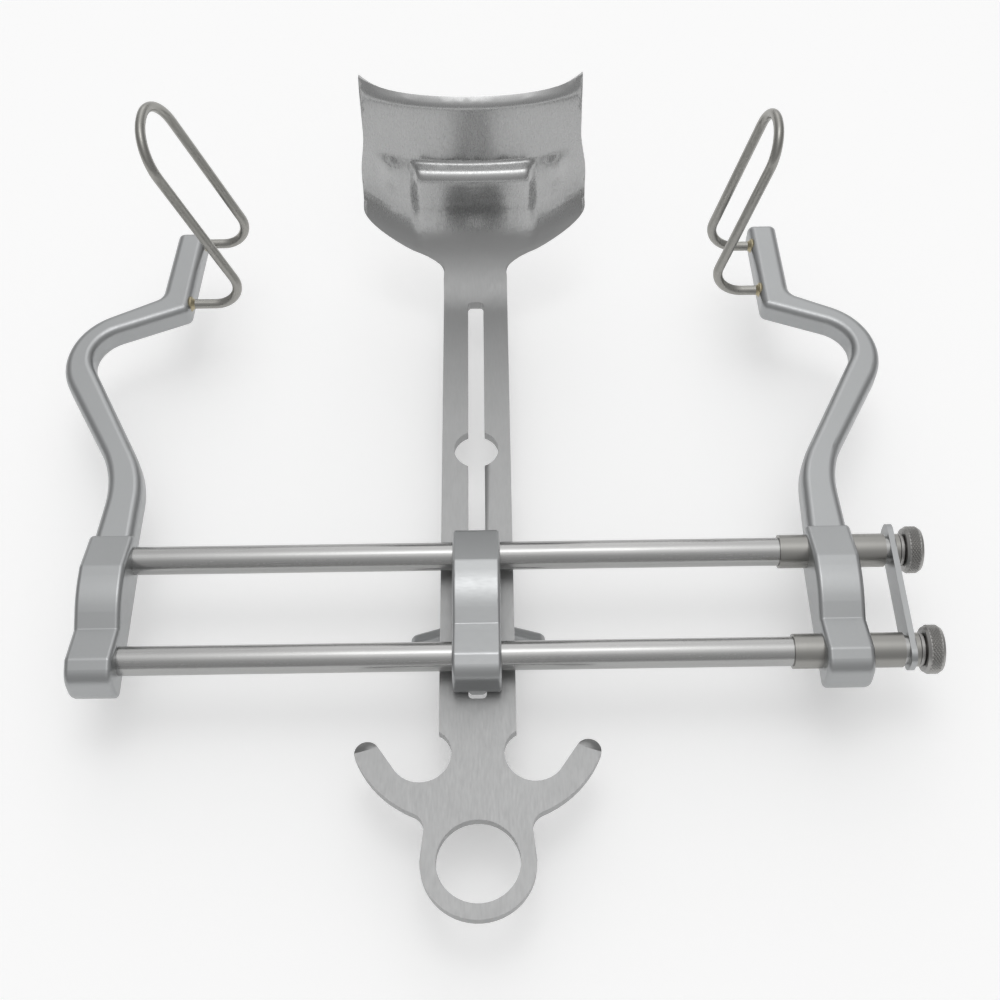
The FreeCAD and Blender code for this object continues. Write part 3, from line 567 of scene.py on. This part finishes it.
class RETRACTOR_OT_centre_blade(bpy.types.Operator):
    """Build the centre blade with the step pressed across its bend"""

    bl_idname = "retractor.centre_blade"
    bl_label = "Build the centre blade"

    def execute(self, context):
        colour = context.scene.retractor_steel.blade
        detail = context.scene.retractor_detail
        satin = detail.shank_roughness
        brushed = steel("brushed_blade", colour, satin, (2400, 300, 500), mottle=0.06)
        foot = RAILS_MIDDLE.z - 4 * MM
        polish(brushed, foot, foot + 16 * MM, detail.plate_roughness - satin)
        bm = bmesh.new()
        bm.from_mesh(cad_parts["centre_blade"].data)
        bmesh.ops.remove_doubles(bm, verts=bm.verts, dist=MERGE)
        bend = RAILS_MIDDLE + Vector(BEND_CENTRE) * MM
        self.divide(bm, bend)
        self.press(bm, bend)
        blade = new_piece("pressed_centre_blade", bm, brushed, "blade")
        blade.data.shade_smooth()
        blade.data.set_sharp_from_angle(angle=CRISP_ANGLE)
        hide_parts("centre_blade")
        return {"FINISHED"}

    def below_top(self, point, bend):
        """Distance of a point of the plate below the step's top, along the plate."""
        offset = (point - bend) / MM
        if offset.z >= 0:
            return STEP_TOP - offset.z
        return STEP_TOP + BEND_RADIUS * math.atan2(-offset.z, offset.y)

    def on_step(self, point, bend):
        """Whether a point lies where the step changes the plate."""
        if point.y < bend.y or abs(point.x - bend.x) > STEP_HALF * MM:
            return False
        return 0 < self.below_top(point, bend) < STEP_END

    def divide(self, bm, bend):
        """Cut the plate finely where the step is pressed."""
        def cut(faces, place, normal):
            verts = {vert for face in faces for vert in face.verts}
            edges = {edge for face in faces for edge in face.edges}
            geom = [*verts, *edges, *faces]
            result = bmesh.ops.bisect_plane(
                bm,
                geom=geom,
                dist=CUT_SNAP,
                plane_co=place,
                plane_no=normal,
            )
            return [item for item in result["geom"] if isinstance(item, bmesh.types.BMFace)]

        sides = [bend.x - STEP_HALF * MM, bend.x + STEP_HALF * MM]
        rows = [NARROW_ROW * index for index in range(NARROW_ROWS)]
        last = rows[-1]
        rows += [last + (STEP_END - last) * index / WIDE_ROWS for index in range(1, WIDE_ROWS + 1)]
        planes = [self.row_plane(bend, row) for row in rows]
        wall = [face for face in bm.faces if face.calc_center_median().y > bend.y]
        for side in sides:
            wall = cut(wall, Vector((side, 0, 0)), Vector((1, 0, 0)))
        for place, normal in (planes[0], planes[-1]):
            wall = cut(wall, place, normal)
        faces = [face for face in wall if self.on_step(face.calc_center_median(), bend)]
        for index in range(1, COLUMNS):
            side = sides[0] + (sides[1] - sides[0]) * index / COLUMNS
            faces = cut(faces, Vector((side, 0, 0)), Vector((1, 0, 0)))
        for place, normal in planes[1:-1]:
            faces = cut(faces, place, normal)

    def row_plane(self, bend, distance):
        """The plane across the plate at a distance below the step's top."""
        y, z, slope = plate_front(distance)
        normal = Vector((0, math.sin(slope), math.cos(slope)))
        return bend + Vector((0, y, z)) * MM, normal

    def press(self, bm, bend):
        """Press the step: both faces of the plate move and keep its thickness."""
        bm.normal_update()
        stretch = sum(length for length, _ in STEP_PROFILE) / STEP_END
        moves = []
        for vert in bm.verts:
            if not self.on_step(vert.co, bend):
                continue
            distance = self.below_top(vert.co, bend)
            across = abs(vert.co.x - bend.x) / MM
            fade = eased(distance, FLANK_FADE)
            share = eased(across, STEP_MIDDLE) + eased(across, STEP_FLANK) * fade
            y, z, slope = plate_front(distance)
            new_y, new_z, new_slope = step_front(distance * stretch)
            front = vert.normal.z * math.sin(slope) - vert.normal.y * math.cos(slope)
            depth = 0.0 if front > 0 else PLATE_THICKNESS
            new_y += depth * (math.cos(new_slope) - math.cos(slope))
            new_z -= depth * (math.sin(new_slope) - math.sin(slope))
            moves.append((vert, Vector((0, new_y - y, new_z - z)) * share * MM))
        for vert, move in moves:
            vert.co += move


class RETRACTOR_OT_rails(bpy.types.Operator):
    """Finish the rails, their pins and the sleeves"""

    bl_idname = "retractor.rails"
    bl_label = "Finish the rails and sleeves"

    def execute(self, context):
        colours = context.scene.retractor_steel
        ground = steel("ground_rail", colours.rail, 0.24, (60, 3500, 3500), mottle=0.04)
        dress(("far_rail", "near_rail", "far_rail_pin", "near_rail_pin"), ground)
        turned_steel = steel("turned_sleeve", colours.sleeve, 0.34, (3500, 150, 150), mottle=0.05)
        dress(("far_sleeve", "near_sleeve", "far_washer", "near_washer", "nut_washer"), turned_steel)
        return {"FINISHED"}


class RETRACTOR_OT_side_blades(bpy.types.Operator):
    """Finish the wire side blades and braze their legs into the end bars"""

    bl_idname = "retractor.side_blades"
    bl_label = "Finish the side blades"

    def execute(self, context):
        colours = context.scene.retractor_steel
        wire = steel("drawn_wire", colours.wire, 0.3, (900, 900, 900), mottle=0.08)
        dress(("left_wire_blade", "right_wire_blade"), wire)
        fill = steel("braze_fill", colours.braze, 0.36, (1200, 1200, 1200), mottle=0.12)
        width = context.scene.retractor_detail.braze_width
        root = -0.0009
        overlap = 0.00004
        for leg, body, face, setback, way in LEGS:
            middle = RAILS_MIDDLE + Vector((face, setback, LEG_LEVEL)) * MM
            radius = WIRE_RADIUS * MM
            bm = bmesh.new()
            turned(
                bm,
                (
                    (root, radius - overlap),
                    (root, radius + width),
                    (-0.0001, radius + width),
                    (0.15 * width, radius + 0.55 * width),
                    (0.42 * width, radius + 0.22 * width),
                    (width, radius + 0.00003),
                    (width, radius - overlap),
                    (root, radius - overlap),
                ),
                middle,
                Vector((way, 0, 0)),
                48,
            )
            ring = new_piece(f"{leg}_braze", bm, fill, body)
            ring.data.shade_smooth()
        return {"FINISHED"}


class RETRACTOR_OT_thumb_screws(bpy.types.Operator):
    """Build the two thumb screws with diamond knurled heads"""

    bl_idname = "retractor.thumb_screws"
    bl_label = "Build the thumb screws"

    def execute(self, context):
        detail = context.scene.retractor_detail
        knurl = steel(
            "knurled_steel",
            context.scene.retractor_steel.knurl,
            0.34,
            (1500, 1500, 1500),
            mottle=0.08,
        )
        for side in ("far", "near"):
            node = f"{side}_thumb_screw"
            low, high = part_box(node)
            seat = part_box(f"{side}_washer")[1].x
            middle = centre(node)
            middle.x = 0.0
            radius = (high.y - low.y) / 2
            rim = (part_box(f"{side}_washer")[1].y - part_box(f"{side}_washer")[0].y) / 2
            shank = detail.screw_radius
            start = high.x - detail.head_length
            bevel = detail.head_chamfer
            point = 0.0005
            edge = 0.0002
            relief = 0.0010
            shoulder = seat + 0.00005
            collar = shoulder + detail.collar_length
            inner = radius - detail.knurl_depth
            bm = bmesh.new()
            turned(
                bm,
                (
                    (low.x, 0.0),
                    (low.x, shank - point),
                    (low.x + point, shank),
                    (shoulder, shank),
                    (shoulder, rim - edge),
                    (shoulder + edge, rim),
                    (collar - edge, rim),
                    (collar, rim - edge),
                    (collar, rim - relief),
                    (start, rim - relief),
                    (start, radius - bevel),
                    (start + bevel, inner),
                ),
                middle,
                Vector((1, 0, 0)),
                detail.knurl_count,
            )
            knurled_band(
                bm,
                start + bevel,
                detail.head_length - 2 * bevel,
                radius,
                detail.knurl_depth,
                detail.knurl_count,
                detail.knurl_rows,
                middle,
            )
            turned(
                bm,
                (
                    (high.x - bevel, inner),
                    (high.x, radius - bevel),
                    (high.x, radius * 0.55),
                    (high.x - 0.0001, radius * 0.5),
                    (high.x - 0.0001, 0.0),
                ),
                middle,
                Vector((1, 0, 0)),
                detail.knurl_count,
            )
            bmesh.ops.remove_doubles(bm, verts=bm.verts, dist=0.00001)
            body = f"{side}_screw_body"
            screw = new_piece(f"{side}_knurled_screw", bm, knurl, body)
            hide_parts(node)
        return {"FINISHED"}


class RETRACTOR_OT_clamp_stud(bpy.types.Operator):
    """Build the clamp stud with its thread"""

    bl_idname = "retractor.clamp_stud"
    bl_label = "Build the clamp stud"

    def execute(self, context):
        detail = context.scene.retractor_detail
        low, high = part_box("clamp_stud")
        middle = centre("clamp_stud")
        middle.z = 0.0
        radius = (high.x - low.x) / 2
        core = radius - detail.thread_depth
        bright = steel("threaded_stud", context.scene.retractor_steel.rail, 0.28, (900, 900, 900))
        bevel = 0.0003
        bm = bmesh.new()
        turned(
            bm,
            (
                (low.z, 0.0),
                (low.z, core - bevel),
                (low.z + bevel, core),
                (high.z - bevel, core),
                (high.z, core - bevel),
                (high.z, 0.0),
            ),
            middle,
            Vector((0, 0, 1)),
            32,
        )
        pitch = detail.thread_pitch
        steps = 24
        turns = int((high.z - low.z) / pitch) - 1
        foot = low.z + 0.0004
        root = core - 0.0001
        corners = [
            bm.verts.new(middle + Vector((root, 0, foot))),
            bm.verts.new(middle + Vector((radius, 0, foot + 0.45 * pitch))),
            bm.verts.new(middle + Vector((root, 0, foot + 0.9 * pitch))),
        ]
        ridge = bm.faces.new(corners)
        bmesh.ops.spin(
            bm,
            geom=[ridge, *ridge.edges, *ridge.verts],
            cent=middle,
            axis=(0, 0, 1),
            dvec=(0, 0, pitch / steps),
            angle=math.tau * turns,
            steps=steps * turns,
            use_merge=False,
        )
        stud = new_piece("threaded_clamp_stud", bm, bright, "clamp")
        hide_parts("clamp_stud")
        return {"FINISHED"}


class RETRACTOR_OT_stage(bpy.types.Operator):
    """Set the pale floor, the soft light and the photograph's camera"""

    bl_idname = "retractor.stage"
    bl_label = "Set the stage"

    def execute(self, context):
        stage = context.scene.retractor_stage
        bm = bmesh.new()
        bmesh.ops.create_grid(bm, x_segments=1, y_segments=1, size=4.0)
        mesh = bpy.data.meshes.new("floor")
        bm.to_mesh(mesh)
        bm.free()
        floor = bpy.data.objects.new("floor", mesh)
        context.scene.collection.objects.link(floor)
        mesh.materials.append(self.floor_material(stage))

        self.light(context, "overhead", (0.0, 0.10, 0.9), 0.3, stage.overhead_power)
        self.tent(context, stage)

        camera = bpy.data.objects.new("camera", bpy.data.cameras.new("camera"))
        context.scene.collection.objects.link(camera)
        camera.data.lens = stage.lens
        camera.data.sensor_width = 36.0
        camera.data.clip_start = 0.01
        turn = (
            Matrix.Rotation(stage.azimuth, 4, "Z")
            @ Matrix.Rotation(math.radians(90) - stage.elevation, 4, "X")
            @ Matrix.Rotation(stage.roll, 4, "Z")
        )
        aim = RAILS_MIDDLE + Vector(stage.target)
        back = turn @ Vector((0, 0, stage.distance))
        camera.matrix_world = Matrix.Translation(aim + back) @ turn
        context.scene.camera = camera
        context.scene.view_settings.view_transform = "Standard"
        return {"FINISHED"}

    def light(self, context, name, place, size, power):
        """A square soft light that points down."""
        data = bpy.data.lights.new(name, "AREA")
        data.size = size
        data.energy = power
        lamp = bpy.data.objects.new(name, data)
        lamp.location = place
        context.scene.collection.objects.link(lamp)

    def floor_material(self, stage):
        """A matt white floor that keeps the shadow and is also seen by polished metal."""
        plain = bpy.data.materials.new("plain_floor")
        plain.use_nodes = True
        tree = plain.node_tree
        shader = tree.nodes["Principled BSDF"]
        shader.inputs["Base Color"].default_value = (*stage.floor_colour, 1.0)
        shader.inputs["Roughness"].default_value = 0.9
        shader.inputs["Specular IOR Level"].default_value = 0.0
        shader.inputs["Emission Color"].default_value = (1.0, 1.0, 1.0, 1.0)
        path = tree.nodes.new("ShaderNodeLightPath")
        seen = path.outputs["Is Camera Ray"]
        for kind in ("Is Glossy Ray", "Is Transmission Ray"):
            either = tree.nodes.new("ShaderNodeMath")
            either.operation = "MAXIMUM"
            tree.links.new(seen, either.inputs[0])
            tree.links.new(path.outputs[kind], either.inputs[1])
            seen = either.outputs[0]
        white = tree.nodes.new("ShaderNodeMath")
        white.operation = "MULTIPLY"
        white.inputs[1].default_value = stage.backdrop_white
        tree.links.new(seen, white.inputs[0])
        tree.links.new(white.outputs[0], shader.inputs["Emission Strength"])
        return plain

    def tent(self, context, stage):
        """A light tent with a long soft panel that arches from overhead to the far side."""
        world = bpy.data.worlds.new("tent")
        context.scene.world = world
        world.use_nodes = True
        tree = world.node_tree
        place = tree.nodes.new("ShaderNodeTexCoord")
        split = tree.nodes.new("ShaderNodeSeparateXYZ")
        tree.links.new(place.outputs["Generated"], split.inputs["Vector"])
        nearer = self.reckon(tree, "MULTIPLY", split.outputs["Y"], -1.0)
        turn = self.reckon(tree, "ARCTAN2", split.outputs["Z"], nearer)
        arch = self.ramp(tree, self.reckon(tree, "DIVIDE", turn, math.pi), PANEL_ARCH)
        aside = self.reckon(tree, "SUBTRACT", split.outputs["X"], stage.panel_shift)
        width = self.ramp(tree, self.reckon(tree, "ABSOLUTE", aside), PANEL_WIDTH)
        panel = self.reckon(tree, "MULTIPLY", arch, width)
        glow = self.reckon(tree, "MULTIPLY_ADD", panel, stage.panel_level)
        glow.node.inputs[2].default_value = stage.tent_level
        tree.links.new(glow, tree.nodes["Background"].inputs["Strength"])
        tree.nodes["Background"].inputs["Color"].default_value = (1.0, 1.0, 1.0, 1.0)

    def reckon(self, tree, operation, *values):
        """A Math node on sockets and numbers."""
        node = tree.nodes.new("ShaderNodeMath")
        node.operation = operation
        for socket, value in zip(node.inputs, values):
            if isinstance(value, bpy.types.NodeSocket):
                tree.links.new(value, socket)
            else:
                socket.default_value = value
        return node.outputs["Value"]

    def ramp(self, tree, value, levels):
        """A grey ramp through (place, level) pairs."""
        node = tree.nodes.new("ShaderNodeValToRGB")
        stops = node.color_ramp.elements
        stops.remove(stops[1])
        for index, (position, level) in enumerate(levels):
            stop = stops[0] if index == 0 else stops.new(position)
            stop.position = position
            stop.color = (level, level, level, 1.0)
        tree.links.new(value, node.inputs["Fac"])
        return node.outputs["Color"]


class RETRACTOR_PT_panel(bpy.types.Panel):
    """Sidebar panel that lists the retractor's steps"""

    bl_idname = "RETRACTOR_PT_panel"
    bl_label = "Retractor"
    bl_space_type = "VIEW_3D"
    bl_region_type = "UI"
    bl_category = "Retractor"

    def draw(self, context):
        for operator in OPERATORS:
            self.layout.operator(operator.bl_idname)
        for group in ("retractor_steel", "retractor_detail", "retractor_stage"):
            settings = getattr(context.scene, group)
            box = self.layout.box()
            for name in settings.__annotations__:
                box.prop(settings, name)


SETTINGS = {
    "retractor_steel": SteelSettings,
    "retractor_detail": DetailSettings,
    "retractor_stage": StageSettings,
}
OPERATORS = (
    RETRACTOR_OT_forgings,
    RETRACTOR_OT_centre_blade,
    RETRACTOR_OT_rails,
    RETRACTOR_OT_side_blades,
    RETRACTOR_OT_thumb_screws,
    RETRACTOR_OT_clamp_stud,
    RETRACTOR_OT_stage,
)


def register():
    for group, settings in SETTINGS.items():
        bpy.utils.register_class(settings)
        setattr(bpy.types.Scene, group, PointerProperty(type=settings))
    for operator in OPERATORS:
        bpy.utils.register_class(operator)
    bpy.utils.register_class(RETRACTOR_PT_panel)


def unregister():
    bpy.utils.unregister_class(RETRACTOR_PT_panel)
    for operator in reversed(OPERATORS):
        bpy.utils.unregister_class(operator)
    for group, settings in SETTINGS.items():
        delattr(bpy.types.Scene, group)
        bpy.utils.unregister_class(settings)


def main():
    """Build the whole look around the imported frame."""
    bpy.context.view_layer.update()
    register()
    bpy.ops.retractor.forgings()
    bpy.ops.retractor.centre_blade()
    bpy.ops.retractor.rails()
    bpy.ops.retractor.side_blades()
    bpy.ops.retractor.thumb_screws()
    bpy.ops.retractor.clamp_stud()
    bpy.ops.retractor.stage()


if __name__ == "__main__":
    main()
